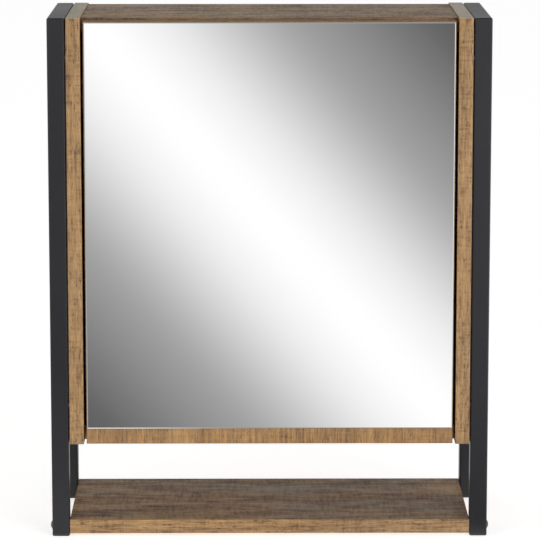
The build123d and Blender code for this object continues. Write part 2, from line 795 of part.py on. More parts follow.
def link_side(arm_pivot, bend, cup_pivot):
    """Outline of a bent link with an eye at each end."""
    with BuildSketch(mode=Mode.PRIVATE) as outline:
        for start, finish in ((arm_pivot, bend), (bend, cup_pivot)):
            with BuildSketch() as straight:
                with Locations(at_hinge(start), at_hinge(finish)):
                    Circle(link_half_width)
                make_hull()
        with Locations(at_hinge(arm_pivot), at_hinge(cup_pivot)):
            Circle(link_eye_radius)
        with Locations(at_hinge(arm_pivot), at_hinge(cup_pivot)):
            Circle(pivot_radius + pivot_fit, mode=Mode.SUBTRACT)
    return outline.sketch


def layered(outline, start, thickness):
    """The outline as two plates, one above and one below the middle of the hinge."""
    for way in (-1, 1):
        extrude(outline.moved(Location((0, 0, way * start))), amount=way * thickness)


# Outer links: two bent plates joined by a bridge near the bend
with BuildPart() as outer_link:
    outer_outline = link_side(arm_outer_pivot, outer_link_bend, cup_outer_pivot)
    layered(outer_outline, outer_link_start, link_thickness)
    bend_point = Vector(*at_hinge(outer_link_bend))
    along = Vector(*at_hinge(arm_outer_pivot)) - bend_point
    bridge_plane = Plane(origin=bend_point, x_dir=along, z_dir=(0, 0, 1))
    with BuildSketch(bridge_plane.offset(-outer_link_end)):
        with Locations((link_half_width, link_half_width)):
            Rectangle(link_bridge_width, link_bridge, align=(Align.CENTER, Align.MAX))
    extrude(amount=2 * outer_link_end)
with BuildPart() as hinge_outer_links:
    with Locations(*[(0, 0, height) for height in hinge_heights]):
        add(outer_link.part)
write(hinge_outer_links, "hinge_outer_links")

# Inner links: a bent plate above and one below the outer links
with BuildPart() as inner_link:
    inner_outline = link_side(arm_inner_pivot, inner_link_bend, cup_inner_pivot)
    layered(inner_outline, inner_link_start, link_thickness)
with BuildPart() as hinge_inner_links:
    with Locations(*[(0, 0, height) for height in hinge_heights]):
        add(inner_link.part)
write(hinge_inner_links, "hinge_inner_links")

# Pins at the cup end of the inner links, which stop short of the cup's wall
with BuildPart() as inner_link_pins:
    for height in hinge_heights:
        for way in (-1, 1):
            with BuildSketch(Plane.XY.offset(height + way * inner_link_start)):
                with Locations(at_hinge(cup_inner_pivot)):
                    Circle(pivot_radius)
            extrude(amount=way * (inner_pin_reach - inner_link_start))
write(inner_link_pins, "inner_link_pins")

# Pins through the nose of the arm: a short one for the outer links, and a riveted one for the inner links
with BuildPart() as arm_pins:
    for height in hinge_heights:
        with BuildSketch(Plane.XY.offset(height)):
            with Locations(at_hinge(arm_outer_pivot)):
                Circle(pivot_radius)
        extrude(amount=outer_link_end, both=True)
        with BuildSketch(Plane.XY.offset(height)):
            with Locations(at_hinge(arm_inner_pivot)):
                Circle(pivot_radius)
        extrude(amount=inner_link_end + pivot_fit, both=True)
        for way in (-1, 1):
            with BuildSketch(Plane.XY.offset(height + way * (inner_link_end + pivot_fit))):
                with Locations(at_hinge(arm_inner_pivot)):
                    Circle(rivet_head_radius)
            extrude(amount=way * rivet_head)
write(arm_pins, "arm_pins")

# Hinge arm: a pressed channel that rises from the mounting plate and bends down into the cup
arm_front_y = door_back + arm_start
arm_rear_y = arm_front_y + arm_length
arm_top_x = -inner_half + arm_rise
arm_bottom_x = -inner_half + plate_base + arm_floor_gap
elbow_y = door_back + arm_elbow
neck_shape = [
    (arm_bottom_x, arm_rear_y),
    (arm_top_x, arm_rear_y),
    (arm_top_x, elbow_y),
    *[at_hinge(corner) for corner in neck_corners],
    (arm_bottom_x, arm_front_y + arm_sheet),
]
taper_front = door_back + neck_end
taper_rear = door_back + neck_taper_end


def arm_form(shape, drawn_in):
    """The neck and body of the arm, drawn in from its two flat sides."""
    with BuildPart(mode=Mode.PRIVATE) as form:
        with BuildSketch():
            Polygon(*shape, align=None)
        extrude(amount=arm_half_width - drawn_in, both=True)
        with BuildSketch(Plane.YZ):
            for way in (-1, 1):
                Polygon(
                    (frame_front, 0),
                    (frame_front, way * (neck_half_width - drawn_in)),
                    (taper_front, way * (neck_half_width - drawn_in)),
                    (taper_rear, way * (arm_half_width - drawn_in)),
                    (frame_rear, way * (arm_half_width - drawn_in)),
                    (frame_rear, 0),
                    align=None,
                )
        extrude(amount=overall_width, both=True, mode=Mode.INTERSECT)
    return form.part


with BuildPart() as arm:
    add(arm_form(neck_shape, 0))
    hollow_shape = [(x - arm_sheet, y - arm_sheet / 2) for x, y in neck_shape]
    hollow_shape[0] = (arm_bottom_x - arm_sheet, arm_rear_y + arm_sheet)
    hollow_shape[1] = (arm_top_x - arm_sheet, arm_rear_y + arm_sheet)
    add(arm_form(hollow_shape, arm_sheet), mode=Mode.SUBTRACT)
    with BuildSketch():
        with Locations(at_hinge(arm_outer_pivot)):
            Circle(arm_eye_radius)
        with Locations(at_hinge(arm_inner_pivot)):
            Circle(nose_tip_radius)
        make_hull()
    extrude(amount=nose_half_thickness, both=True)
    with BuildSketch():
        with Locations(at_hinge(arm_outer_pivot), at_hinge(arm_inner_pivot)):
            Circle(pivot_radius + pivot_fit)
    extrude(amount=arm_half_width, both=True, mode=Mode.SUBTRACT)
    with BuildSketch(Plane.YZ.offset(arm_top_x)):
        with Locations((arm_rear_y - arm_screw_from_end, 0)):
            Circle(arm_screw_radius + screw_fit)
    extrude(amount=-arm_sheet, mode=Mode.SUBTRACT)
with BuildPart() as hinge_arms:
    with Locations(*[(0, 0, height) for height in hinge_heights]):
        add(arm.part)
write(hinge_arms, "hinge_arms")

# Mounting plate: a base with two screw holes, and a ridge that the arm sits over
with BuildPart() as plate:
    with BuildSketch(Plane.YZ.offset(-inner_half)):
        with Locations((plate_screw_y, 0)):
            RectangleRounded(plate_base_width, plate_base_height, plate_corner)
    extrude(amount=plate_base)
    ridge_half = arm_half_width - arm_sheet - plate_ridge_side_gap
    ridge_front = arm_rear_y - plate_ridge_length
    with BuildSketch(Plane.YZ.offset(-inner_half)):
        with Locations(((ridge_front + arm_rear_y) / 2, 0)):
            Rectangle(plate_ridge_length, 2 * ridge_half)
    extrude(amount=arm_rise - arm_sheet)
    ridge_end = plate.faces().filter_by(Axis.Y).sort_by(Axis.Y)[-1]
    fillet(ridge_end.edges().filter_by(Axis.X), plate_ridge_round)
    screw_mouths = [(plate_screw_y, way * plate_screw_spacing / 2) for way in (-1, 1)]
    bore(Plane.YZ.offset(-inner_half), screw_mouths, plate_screw_radius + screw_fit, plate_base)
    arm_screw_y = arm_rear_y - arm_screw_from_end
    ridge_top = Plane.YZ.offset(-inner_half + arm_rise - arm_sheet)
    bore(ridge_top, [(arm_screw_y, 0)], arm_screw_radius + screw_fit, -arm_screw_depth)
with BuildPart() as mounting_plates:
    with Locations(*[(0, 0, height) for height in hinge_heights]):
        add(plate.part)
write(mounting_plates, "mounting_plates")


def panel_screw(head_radius, head_height, shank_radius, shank_length):
    """A pan-head screw with a cross recess, its head on the side away from the left panel."""
    with BuildPart(mode=Mode.PRIVATE) as screw:
        with BuildSketch(Plane.YZ):
            Circle(head_radius)
        extrude(amount=head_height)
        fillet(screw.faces().sort_by(Axis.X)[-1].edges(), head_height / 2)
        with BuildSketch(Plane.YZ):
            Circle(shank_radius)
        extrude(amount=-shank_length)
        cross_slot(Plane.YZ.offset(head_height), head_radius, cross_slot_width, -cross_slot_depth)
    return screw.part


# Screws of the mounting plates, and the screw that clamps each arm
with BuildPart() as plate_screws:
    plate_screw = panel_screw(
        plate_screw_head_radius, plate_screw_head_height, plate_screw_radius, plate_base + plate_screw_depth
    )
    for y, z in plate_places:
        with Locations((-inner_half + plate_base, y, z)):
            add(plate_screw)
write(plate_screws, "plate_screws")

with BuildPart() as arm_screws:
    arm_screw_length = arm_sheet + arm_screw_depth - screw_fit
    arm_screw = panel_screw(
        arm_screw_head_radius, arm_screw_head_height, arm_screw_radius, arm_screw_length
    )
    for height in hinge_heights:
        with Locations((arm_top_x, arm_screw_y, height)):
            add(arm_screw)
write(arm_screws, "arm_screws")
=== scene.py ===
"""Looks of the bathroom mirror cabinet: oak-decor boards, dark powder-coated tube frames and a mirrored door."""
import math

import bpy
from mathutils import Euler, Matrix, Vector


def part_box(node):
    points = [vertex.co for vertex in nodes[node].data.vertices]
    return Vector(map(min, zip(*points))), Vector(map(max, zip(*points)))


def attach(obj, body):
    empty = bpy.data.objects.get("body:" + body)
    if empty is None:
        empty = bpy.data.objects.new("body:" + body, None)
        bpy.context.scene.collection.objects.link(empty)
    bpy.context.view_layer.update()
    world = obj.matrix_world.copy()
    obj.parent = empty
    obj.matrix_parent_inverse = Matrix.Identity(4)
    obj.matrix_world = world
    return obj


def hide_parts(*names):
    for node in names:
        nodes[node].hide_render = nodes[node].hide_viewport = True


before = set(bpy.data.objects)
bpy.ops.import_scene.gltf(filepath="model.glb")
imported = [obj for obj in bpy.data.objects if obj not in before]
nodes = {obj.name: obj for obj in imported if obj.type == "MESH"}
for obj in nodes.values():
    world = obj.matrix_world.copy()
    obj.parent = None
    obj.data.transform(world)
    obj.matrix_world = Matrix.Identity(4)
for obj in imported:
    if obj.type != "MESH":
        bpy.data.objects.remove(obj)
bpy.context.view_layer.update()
MM = 0.001
X, Y, Z = range(3)
LOW, HIGH = -1, 1


# Shader helpers
def put(tree, kind, values=None, **settings):
    """Adds a shader node; a value that is a socket is linked and any other value is set."""
    made = tree.nodes.new(kind)
    for name, value in settings.items():
        setattr(made, name, value)
    for place, value in (values or {}).items():
        if isinstance(value, bpy.types.NodeSocket):
            tree.links.new(value, made.inputs[place])
        else:
            made.inputs[place].default_value = value
    return made


def new_group(name, inputs, outputs):
    """A shader node group with named inputs (name: (kind, default)) and outputs (name: kind)."""
    tree = bpy.data.node_groups.new(name, "ShaderNodeTree")
    for label, (kind, default) in inputs.items():
        socket = tree.interface.new_socket(label, in_out="INPUT", socket_type=kind)
        if default is not None:
            socket.default_value = default
    for label, kind in outputs.items():
        tree.interface.new_socket(label, in_out="OUTPUT", socket_type=kind)
    return tree, tree.nodes.new("NodeGroupInput").outputs, tree.nodes.new("NodeGroupOutput").inputs


def noise(tree, vector, stretch, detail=2.0, rough=0.5, twist=0.0):
    """Noise with its own number of features per metre along each axis."""
    scaled = put(tree, "ShaderNodeVectorMath", {0: vector, 1: stretch}, operation="MULTIPLY")
    made = put(
        tree,
        "ShaderNodeTexNoise",
        {"Vector": scaled.outputs[0], "Scale": 1.0, "Detail": detail, "Roughness": rough, "Distortion": twist},
    )
    return made.outputs["Fac"]


def between(tree, value, low, high, to_low=0.0, to_high=1.0):
    """A value moved smoothly from one range to another."""
    made = put(
        tree,
        "ShaderNodeMapRange",
        {"Value": value, "From Min": low, "From Max": high, "To Min": to_low, "To Max": to_high},
        interpolation_type="SMOOTHSTEP",
    )
    return made.outputs["Result"]


def maths(tree, operation, *values):
    """One step of arithmetic."""
    return put(tree, "ShaderNodeMath", dict(enumerate(values)), operation=operation).outputs[0]


def clamp(tree, value):
    """A value kept between nought and one."""
    return put(tree, "ShaderNodeClamp", {"Value": value}).outputs[0]


def blend_colour(tree, share, low, high):
    """A mix of two colours."""
    made = put(tree, "ShaderNodeMix", {0: share, 6: low, 7: high}, data_type="RGBA")
    return made.outputs[2]


def add_layer(tree, total, layer, weight):
    """Adds a layer, centred on nought and weighted, to a running total."""
    return maths(tree, "MULTIPLY_ADD", maths(tree, "SUBTRACT", layer, 0.5), weight, total)


# Printed oak decor: broad tones, streaks, fibres and pores along X, hatching and saw marks across it, grey clouds
decor, decor_in, decor_out = new_group(
    "oak_decor",
    {
        "Vector": ("NodeSocketVector", None),
        "Dark": ("NodeSocketColor", (0.10, 0.05, 0.02, 1.0)),
        "Light": ("NodeSocketColor", (0.42, 0.28, 0.15, 1.0)),
        "Grey": ("NodeSocketColor", (0.30, 0.25, 0.20, 1.0)),
        "Saw Marks": ("NodeSocketFloat", 0.3),
        "Hatching": ("NodeSocketFloat", 0.2),
        "Streaks": ("NodeSocketFloat", 0.5),
        "Wide Streaks": ("NodeSocketFloat", 0.1),
        "Pores": ("NodeSocketFloat", 0.3),
        "Greying": ("NodeSocketFloat", 0.3),
    },
    {"Color": "NodeSocketColor", "Height": "NodeSocketFloat", "Roughness": "NodeSocketFloat"},
)
# Each pattern: features per metre along and across the grain, detail, roughness, twist, and the noise values
# between which it fades in (None leaves the noise as it is)
PATTERNS = {
    "broad_tone": (2.6, 30.0, 3.0, 0.55, 0.6, (0.30, 0.72)),
    "wide_streaks": (15.0, 74.0, 3.0, 0.62, 0.4, (0.32, 0.68)),
    "streaks": (24.0, 400.0, 4.0, 0.64, 0.3, (0.28, 0.72)),
    "fibres": (60.0, 1100.0, 2.0, 0.6, 0.0, None),
    "hatching": (230.0, 34.0, 3.0, 0.65, 0.4, (0.30, 0.70)),
    "pores": (150.0, 720.0, 2.0, 0.55, 0.0, (0.56, 0.70)),
    "saw_lines": (470.0, 42.0, 1.0, 0.5, 0.0, (0.45, 0.66)),
    "saw_patches": (56.0, 170.0, 3.0, 0.6, 0.0, (0.42, 0.62)),
    "grey_clouds": (7.0, 24.0, 3.0, 0.6, 0.0, (0.40, 0.66)),
}
MIDDLE_TONE = 0.50
BROAD_TONE_WEIGHT = 0.24
FIBRE_WEIGHT = 0.7
FIBRE_HEIGHT = 0.5
PORE_HEIGHT = -0.7
SAW_MARK_HEIGHT = -0.8
DARK_AND_LIGHT_ROUGHNESS = (0.58, 0.46)


def pattern(name):
    """One of the patterns of the oak decor."""
    along_grain, across_grain, detail, rough, twist, limits = PATTERNS[name]
    stretch = (along_grain, across_grain, across_grain)
    plain = noise(decor, decor_in["Vector"], stretch, detail, rough, twist)
    return between(decor, plain, *limits) if limits else plain


fibres = pattern("fibres")
pores = pattern("pores")
saw_marks = maths(decor, "MULTIPLY", pattern("saw_lines"), pattern("saw_patches"))
saw_marks = maths(decor, "MULTIPLY", saw_marks, decor_in["Saw Marks"])
light_share = maths(decor, "MULTIPLY_ADD", pattern("broad_tone"), BROAD_TONE_WEIGHT, MIDDLE_TONE)
light_share = add_layer(decor, light_share, pattern("wide_streaks"), decor_in["Wide Streaks"])
light_share = add_layer(decor, light_share, pattern("streaks"), decor_in["Streaks"])
light_share = add_layer(decor, light_share, pattern("hatching"), decor_in["Hatching"])
light_share = add_layer(decor, light_share, fibres, FIBRE_WEIGHT)
light_share = maths(decor, "SUBTRACT", light_share, maths(decor, "MULTIPLY", pores, decor_in["Pores"]))
light_share = clamp(decor, maths(decor, "SUBTRACT", light_share, saw_marks))
grey_share = maths(decor, "MULTIPLY", pattern("grey_clouds"), decor_in["Greying"])
light_tone = blend_colour(decor, grey_share, decor_in["Light"], decor_in["Grey"])
decor.links.new(blend_colour(decor, light_share, decor_in["Dark"], light_tone), decor_out["Color"])
relief = maths(decor, "MULTIPLY_ADD", fibres, FIBRE_HEIGHT, maths(decor, "MULTIPLY", pores, PORE_HEIGHT))
decor.links.new(maths(decor, "MULTIPLY_ADD", saw_marks, SAW_MARK_HEIGHT, relief), decor_out["Height"])
decor.links.new(between(decor, light_share, 0.0, 1.0, *DARK_AND_LIGHT_ROUGHNESS), decor_out["Roughness"])

# Fine orange-peel texture of powder coat and moulded plastic, with a little dust in wide clouds
stipple, stipple_in, stipple_out = new_group(
    "stipple",
    {
        "Vector": ("NodeSocketVector", None),
        "Color": ("NodeSocketColor", (0.03, 0.03, 0.035, 1.0)),
        "Per Metre": ("NodeSocketFloat", 1500.0),
        "Roughness": ("NodeSocketFloat", 0.5),
        "Uneven": ("NodeSocketFloat", 0.10),
        "Dust": ("NodeSocketFloat", 0.05),
    },
    {"Color": "NodeSocketColor", "Height": "NodeSocketFloat", "Roughness": "NodeSocketFloat"},
)
CLOUDS_PER_METRE = (9.0, 9.0, 9.0)
DUST_LIMITS = (0.4, 0.75)
DUST_COLOUR = (0.42, 0.42, 0.44, 1.0)
PEEL_TINT = 0.05
peel = put(
    stipple,
    "ShaderNodeTexNoise",
    {"Vector": stipple_in["Vector"], "Scale": stipple_in["Per Metre"], "Detail": 2.0, "Roughness": 0.6},
).outputs["Fac"]
cloud = noise(stipple, stipple_in["Vector"], CLOUDS_PER_METRE, 3.0, 0.6)
dust = maths(stipple, "MULTIPLY", between(stipple, cloud, *DUST_LIMITS), stipple_in["Dust"])
dust = clamp(stipple, add_layer(stipple, dust, peel, PEEL_TINT))
uneven = maths(stipple, "MULTIPLY_ADD", cloud, stipple_in["Uneven"], stipple_in["Roughness"])
stipple.links.new(blend_colour(stipple, dust, stipple_in["Color"], DUST_COLOUR), stipple_out["Color"])
stipple.links.new(peel, stipple_out["Height"])
stipple.links.new(uneven, stipple_out["Roughness"])


# Material helpers
def set_surface(shader, surface):
    """Sets constant values on the shader's own sockets; an underscore in a name stands for a space."""
    for label, value in surface.items():
        shader.inputs[label.replace("_", " ")].default_value = value


def new_material(name, group, settings, bump, distance, turn=(0.0, 0.0, 0.0), shift=(0.0, 0.0, 0.0), **surface):
    """A material whose colour, relief and roughness come from a node group on Object coordinates."""
    made = bpy.data.materials.new(name)
    made.use_nodes = True
    tree = made.node_tree
    shader = tree.nodes["Principled BSDF"]
    place = tree.nodes.new("ShaderNodeTexCoord").outputs["Object"]
    turned = put(tree, "ShaderNodeMapping", {"Vector": place, "Rotation": turn, "Location": shift}).outputs[0]
    texture = put(tree, "ShaderNodeGroup", node_tree=group)
    tree.links.new(turned, texture.inputs["Vector"])
    for label, value in settings.items():
        texture.inputs[label].default_value = value
    tree.links.new(texture.outputs["Color"], shader.inputs["Base Color"])
    tree.links.new(texture.outputs["Roughness"], shader.inputs["Roughness"])
    lift = put(tree, "ShaderNodeBump", {"Strength": bump, "Distance": distance, "Height": texture.outputs["Height"]})
    tree.links.new(lift.outputs[0], shader.inputs["Normal"])
    set_surface(shader, surface)
    return made


def oak(name, tones, marks, greying, bump=0.3, **place):
    """A material of printed oak decor."""
    return new_material(name, decor, {**tones, **marks, "Greying": greying}, bump, 0.3 * MM, **place)


def coating(name, colour, per_metre, roughness, dust, bump, distance=0.1 * MM, uneven=0.10, **surface):
    """A material of one colour with a fine texture."""
    settings = {"Color": (*colour, 1.0), "Per Metre": per_metre, "Roughness": roughness, "Dust": dust}
    return new_material(name, stipple, {**settings, "Uneven": uneven}, bump, distance, **surface)


def glowing(name, base, glow, strength, **surface):
    """A plain material that also gives light of its own."""
    made = bpy.data.materials.new(name)
    made.use_nodes = True
    light = {"Base_Color": (*base, 1.0), "Emission_Color": (*glow, 1.0), "Emission_Strength": strength}
    set_surface(made.node_tree.nodes["Principled BSDF"], {**light, **surface})
    return made


SEAM_WIDTH = 1.6 * MM
SEAM_RISE = 9.0


def add_weld_seams(material, frame_node):
    """Raises a thin seam along the mitre of both top corners of the tube frames."""
    low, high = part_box(frame_node)
    tube = high[X] - low[X]
    tree = material.node_tree
    bump = tree.nodes["Bump"]
    peel_height = bump.inputs["Height"].links[0].from_socket
    point = put(tree, "ShaderNodeSeparateXYZ", {0: tree.nodes.new("ShaderNodeTexCoord").outputs["Object"]}).outputs
    from_middle = maths(tree, "ABSOLUTE", maths(tree, "SUBTRACT", point["Y"], (low[Y] + high[Y]) / 2))
    from_front = maths(tree, "SUBTRACT", (high[Y] - low[Y]) / 2, from_middle)
    from_top = maths(tree, "SUBTRACT", high[Z], point["Z"])
    off_mitre = maths(tree, "ABSOLUTE", maths(tree, "SUBTRACT", from_front, from_top))
    seam = between(tree, off_mitre, 0.0, SEAM_WIDTH, 1.0, 0.0)
    corner = between(tree, from_top, tube, tube + MM, 1.0, 0.0)
    seam = maths(tree, "MULTIPLY", seam, corner)
    tree.links.new(maths(tree, "MULTIPLY_ADD", seam, SEAM_RISE, peel_height), bump.inputs["Height"])


# Materials of wood: the grain runs along X unless it is turned
UPRIGHT = (0.0, math.pi / 2, 0.0)
FRONT_TO_BACK = (0.0, 0.0, math.pi / 2)
OAK_DARK = (0.115, 0.054, 0.020, 1.0)
OAK_GREY = (0.34, 0.27, 0.19, 1.0)
LEVEL_OAK = {"Dark": OAK_DARK, "Light": (0.50, 0.30, 0.125, 1.0), "Grey": OAK_GREY}
UPRIGHT_OAK = {"Dark": OAK_DARK, "Light": (0.50, 0.272, 0.092, 1.0), "Grey": OAK_GREY}
BAND_OAK = {"Dark": OAK_DARK, "Light": (0.515, 0.300, 0.115, 1.0), "Grey": OAK_GREY}
# Painted shade: these darker oak tones stand in for the shade in the recess between the top panel and the door
PAINTED_SHADE_OAK = {"Dark": (0.07, 0.03, 0.01, 1.0), "Light": (0.34, 0.19, 0.07, 1.0), "Grey": OAK_GREY}
# Painted sheen: these pale grey oak tones stand in for the grazing reflection of the bright surround on the side
# panels' top ends
PAINTED_SHEEN_OAK = {"Dark": (0.36, 0.30, 0.22, 1.0), "Light": (0.68, 0.60, 0.47, 1.0), "Grey": (0.64, 0.60, 0.50, 1.0)}
BEECH = {"Dark": (0.36, 0.22, 0.11, 1.0), "Light": (0.66, 0.47, 0.28, 1.0)}
LEVEL_MARKS = {"Saw Marks": 0.30, "Hatching": 0.34, "Streaks": 0.42, "Wide Streaks": 0.54, "Pores": 0.15}
UPRIGHT_MARKS = {"Saw Marks": 0.16, "Hatching": 0.12, "Streaks": 0.50, "Wide Streaks": 0.06, "Pores": 0.38}
BAND_MARKS = {"Saw Marks": 0.28, "Hatching": 0.15, "Streaks": 0.50, "Wide Streaks": 0.14, "Pores": 0.42}
# Fewer marks on the side panels' top bands, so that the painted sheen looks smooth
PAINTED_SHEEN_MARKS = {"Saw Marks": 0.20, "Hatching": 0.10, "Streaks": 0.30, "Wide Streaks": 0.10, "Pores": 0.20}
oak_level = oak("oak_level", LEVEL_OAK, LEVEL_MARKS, greying=0.9, bump=0.25)
oak_upright = oak("oak_upright", UPRIGHT_OAK, UPRIGHT_MARKS, greying=0.1, bump=0.25, turn=UPRIGHT)
band_level = oak("edge_band_level", BAND_OAK, BAND_MARKS, greying=0.2, shift=(0.37, 0.11, 0.05))
band_upright = oak(
    "edge_band_upright", BAND_OAK, BAND_MARKS, greying=0.15, turn=UPRIGHT, shift=(0.21, 0.07, 0.13)
)
# Painted shade: the top panel's front band is darkened for the shade in its recess behind the door's top
band_painted_shade = oak("edge_band_painted_shade", PAINTED_SHADE_OAK, BAND_MARKS, greying=0.0, shift=(0.15, 0.02, 0.08))
# Painted sheen: the side panels' top bands are paler and greyer to show the grazing reflection of the surround
band_painted_sheen = oak("edge_band_painted_sheen", PAINTED_SHEEN_OAK, PAINTED_SHEEN_MARKS, greying=0.6, bump=0.2, turn=FRONT_TO_BACK)
band_deep = oak("edge_band_front_to_back", BAND_OAK, BAND_MARKS, greying=0.2, turn=FRONT_TO_BACK)
beech = oak("beech_dowel", BEECH, {"Saw Marks": 0.0}, greying=0.0, bump=0.2)

# Materials of one colour: colour, bumps per metre, roughness, dust and bump strength
powder_coat = coating(
    "powder_coat", (0.0105, 0.0102, 0.0135), 1700.0, 0.34, 0.008, 0.16, distance=0.2 * MM, Specular_IOR_Level=0.40
)
add_weld_seams(powder_coat, "left_frame")
plug_plastic = coating("plug_plastic", (0.020, 0.020, 0.022), 2400.0, 0.55, 0.03, 0.12)
hardboard = coating("hardboard_white", (0.60, 0.57, 0.52), 420.0, 0.55, 0.1, 0.2, distance=0.3 * MM)
nickel = coating("nickel_plate", (0.62, 0.61, 0.58), 900.0, 0.24, 0.05, 0.05, Metallic=1.0)
zinc = coating("die_cast_zinc", (0.50, 0.50, 0.49), 1300.0, 0.38, 0.08, 0.12, Metallic=1.0)
black_steel = coating("black_bolt", (0.018, 0.018, 0.020), 1600.0, 0.30, 0.02, 0.08)
clear_pad = coating("clear_pad", (0.66, 0.67, 0.66), 700.0, 0.25, 0.02, 0.05, Transmission_Weight=0.6)
glass_edge = coating("ground_glass_edge", (0.33, 0.44, 0.40), 900.0, 0.22, 0.03, 0.05)
backing_paint = coating("mirror_backing_paint", (0.13, 0.135, 0.14), 700.0, 0.6, 0.04, 0.1)
silvering = coating("silvered_glass", (0.93, 0.935, 0.93), 6.0, 0.0, 0.0, 0.0, uneven=0.008, Metallic=1.0)

FINISHES = {
    oak_level: ["top_panel", "bottom_panel", "lower_shelf", "lower_inner_shelf", "upper_inner_shelf"],
    oak_upright: ["left_side_panel", "right_side_panel", "door_board"],
    powder_coat: ["left_frame", "right_frame"],
    plug_plastic: ["frame_end_plugs"],
    hardboard: ["back_panel"],
    silvering: ["mirror_glass"],
    nickel: [
        "hinge_cups", "hinge_arms", "hinge_outer_links", "hinge_inner_links", "cup_screws", "cup_pins",
        "inner_link_pins", "arm_pins", "arm_screws", "plate_screws", "shelf_pins", "frame_screws",
        "keyhole_plates", "keyhole_screws", "cam_bolts",
    ],
    zinc: ["mounting_plates", "cam_housings", "rivet_nuts", "shelf_inserts"],
    black_steel: ["shelf_bolts"],
    clear_pad: ["door_bumpers"],
    beech: ["wood_dowels"],
}
for finish, names in FINISHES.items():
    for name in names:
        nodes[name].data.materials.clear()
        nodes[name].data.materials.append(finish)

# Modelling helpers
FACING = 0.9
SMOOTH_ANGLE = math.radians(35)


def block(name, low, high, finish):
    """A block between two corners with its own material."""
    bpy.ops.object.select_all(action="DESELECT")
    centre = [(a + b) / 2 for a, b in zip(low, high)]
    bpy.ops.mesh.primitive_cube_add(size=1.0, location=centre)
    piece = bpy.context.object
    piece.name = piece.data.name = name
    piece.scale = [b - a for a, b in zip(low, high)]
    bpy.ops.object.transform_apply(location=True, rotation=True, scale=True)
    piece.data.materials.append(finish)
    return piece


def pick_faces(piece, axis, side):
    """Selects only the faces that look to one side along an axis, and stays in edit mode."""
    bpy.ops.object.mode_set(mode="EDIT")
    bpy.ops.mesh.select_mode(type="FACE")
    bpy.ops.mesh.select_all(action="DESELECT")
    bpy.ops.object.mode_set(mode="OBJECT")
    for face in piece.data.polygons:
        face.select = face.normal[axis] * side > FACING
    bpy.ops.object.mode_set(mode="EDIT")


# Edge bands on the boards: a thin strip with eased edges that stands a hair proud of the board
BAND_DEPTH = 0.45 * MM
PROUD = 0.05 * MM
EASE = 0.35 * MM


def edge_band(name, node, axis, side, finish, body):
    """A strip over one whole edge of a board, at its low or high side along the axis."""
    low, high = (list(corner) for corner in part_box(node))
    if side == LOW:
        high[axis] = low[axis] + BAND_DEPTH
        low[axis] -= PROUD
    else:
        low[axis] = high[axis] - BAND_DEPTH
        high[axis] += PROUD
    for other in (X, Y, Z):
        if other != axis:
            low[other] -= PROUD
            high[other] += PROUD
    piece = block(name, low, high, finish)
    bpy.ops.object.mode_set(mode="EDIT")
    bpy.ops.mesh.select_all(action="SELECT")
    bpy.ops.mesh.bevel(offset=EASE, segments=2, affect="EDGES")
    bpy.ops.object.mode_set(mode="OBJECT")
    bpy.ops.object.shade_smooth_by_angle(angle=SMOOTH_ANGLE)
    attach(piece, body)


for side_name in ("left_side_panel", "right_side_panel"):
    edge_band(f"{side_name}_front_band", side_name, Y, LOW, band_upright, "cabinet")
    # The top bands carry painted sheen, a pale grey oak for the grazing reflection of the surround
    edge_band(f"{side_name}_top_band", side_name, Z, HIGH, band_painted_sheen, "cabinet")
    edge_band(f"{side_name}_foot_band", side_name, Z, LOW, band_deep, "cabinet")
# This band carries painted shade, a darker oak for the recess above the door
edge_band("top_panel_front_band", "top_panel", Y, LOW, band_painted_shade, "cabinet")
for board_name in ("bottom_panel", "lower_inner_shelf", "upper_inner_shelf", "lower_shelf"):
    edge_band(f"{board_name}_front_band", board_name, Y, LOW, band_level, "cabinet")
edge_band("lower_shelf_rear_band", "lower_shelf", Y, HIGH, band_level, "cabinet")
edge_band("lower_shelf_left_band", "lower_shelf", X, LOW, band_deep, "cabinet")
edge_band("lower_shelf_right_band", "lower_shelf", X, HIGH, band_deep, "cabinet")
edge_band("door_top_band", "door_board", Z, HIGH, band_level, "door")
edge_band("door_foot_band", "door_board", Z, LOW, band_level, "door")
edge_band("door_left_band", "door_board", X, LOW, band_upright, "door")
edge_band("door_right_band", "door_board", X, HIGH, band_upright, "door")

# Mirror pane: a narrow polished bevel round the front, ground glass edges and a painted back
BEVEL_WIDTH = 0.9 * MM
BEVEL_DEPTH = 0.18 * MM
SILVER_FACE, EDGE_FACE, BACK_FACE = range(3)
mirror_low, mirror_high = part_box("mirror_glass")
pane = block("mirror_pane", (mirror_low[X], mirror_low[Y] + BEVEL_DEPTH, mirror_low[Z]), mirror_high, silvering)
pane.data.materials.append(glass_edge)
pane.data.materials.append(backing_paint)
pick_faces(pane, Y, LOW)
bpy.ops.mesh.inset(thickness=BEVEL_WIDTH, depth=BEVEL_DEPTH)
bpy.ops.object.mode_set(mode="OBJECT")
for face in pane.data.polygons:
    if face.normal.y > FACING:
        face.material_index = BACK_FACE
    elif max(abs(face.normal.x), abs(face.normal.z)) > FACING:
        face.material_index = EDGE_FACE
    else:
        face.material_index = SILVER_FACE
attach(pane, "door")
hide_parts("mirror_glass")

# Camera at the photo's viewing angle
CAMERA_PLACE = Vector((-0.0195, -3.60, 0.918))
CAMERA_PITCH = math.radians(9.84)
CAMERA_YAW = math.radians(0.326)
FOCAL_PIXELS = 3130.8
PICTURE_PIXELS = 540.0
SENSOR_WIDTH = 36.0
lens = bpy.data.cameras.new("camera")
lens.sensor_width = SENSOR_WIDTH
lens.lens = FOCAL_PIXELS / PICTURE_PIXELS * SENSOR_WIDTH
camera = bpy.data.objects.new("camera", lens)
camera.location = CAMERA_PLACE
camera.rotation_euler = Euler((math.pi / 2 - CAMERA_PITCH, 0.0, -CAMERA_YAW))
bpy.context.collection.objects.link(camera)
bpy.context.scene.camera = camera
bpy.context.scene.view_settings.view_transform = "Standard"

